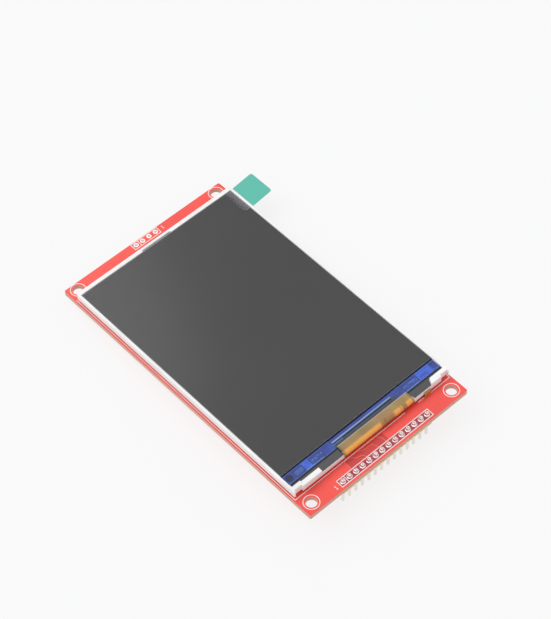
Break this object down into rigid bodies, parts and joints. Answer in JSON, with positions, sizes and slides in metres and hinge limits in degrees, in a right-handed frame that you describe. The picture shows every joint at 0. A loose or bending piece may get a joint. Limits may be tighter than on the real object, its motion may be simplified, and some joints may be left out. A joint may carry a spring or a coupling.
{
  "type": "tft display module",
  "caption": "Flat colour display on a red circuit board with corner mounting holes, a pin header below one end, and a card socket on the back.",
  "frame": {"origin": "centre of the four mounting holes, on the front face of the circuit board", "axes": "+Z out of the screen, +Y along the board away from the pin header, +X to the right as the screen is read"},
  "size_m": [0.0691, 0.1081, 0.0149],
  "materials": {
    "board": "red solder mask over glass-epoxy board",
    "header_plastic": "yellow moulded strip",
    "pin_metal": "tin plated",
    "solder": "bright solder",
    "foam": "white double-sided foam tape",
    "white_plastic": "white moulded plastic",
    "reflector": "silvery white sheet",
    "clear_plastic": "clear and frosted optical plastic",
    "black_tape": "black film tape",
    "flex": "amber polyimide over copper",
    "lamp": "white package with a yellow window",
    "polarizer": "dark grey polarizing film",
    "panel_glass": "thin glass with dark blue circuit layers",
    "silicon": "polished silicon",
    "cover_film": "clear protective film",
    "teal_tape": "teal plastic tape",
    "black_plastic": "black moulded plastic",
    "socket_metal": "folded stainless sheet",
    "contact_metal": "gold plated spring",
    "resistor": "black glaze over white ceramic, tinned ends",
    "capacitor": "tan ceramic, tinned ends"
  },
  "bodies": {
    "root": {"pcb": "board", "header_body": "header_plastic", "header_pin_1": "pin_metal", "header_pin_2": "pin_metal", "header_pin_3": "pin_metal", "header_pin_4": "pin_metal", "header_pin_5": "pin_metal", "header_pin_6": "pin_metal", "header_pin_7": "pin_metal", "header_pin_8": "pin_metal", "header_pin_9": "pin_metal", "header_pin_10": "pin_metal", "header_pin_11": "pin_metal", "header_pin_12": "pin_metal", "header_pin_13": "pin_metal", "header_pin_14": "pin_metal", "header_solder": "solder", "foam_tape_left": "foam", "foam_tape_right": "foam", "backlight_frame": "white_plastic", "reflector_sheet": "reflector", "light_guide": "clear_plastic", "diffuser_film": "clear_plastic", "lower_prism_film": "clear_plastic", "upper_prism_film": "clear_plastic", "rim_tape": "black_tape", "lamp_flex": "flex", "lamp_1": "lamp", "lamp_2": "lamp", "lamp_3": "lamp", "lamp_4": "lamp", "lamp_5": "lamp", "lamp_6": "lamp", "shading_tape": "black_tape", "rear_polarizer": "polarizer", "array_glass": "panel_glass", "color_filter_glass": "panel_glass", "front_polarizer": "polarizer", "driver_chip": "silicon", "display_flex": "flex", "protective_film": "cover_film", "pull_tab": "teal_tape", "card_socket_base": "black_plastic", "card_socket_shell": "socket_metal", "card_contact_1": "contact_metal", "card_contact_2": "contact_metal", "card_contact_3": "contact_metal", "card_contact_4": "contact_metal", "card_contact_5": "contact_metal", "card_contact_6": "contact_metal", "card_contact_7": "contact_metal", "card_contact_8": "contact_metal", "card_contact_9": "contact_metal", "regulator": "black_plastic", "backlight_transistor": "black_plastic", "resistors": "resistor", "capacitors": "capacitor"}
  },
  "joints": []
}
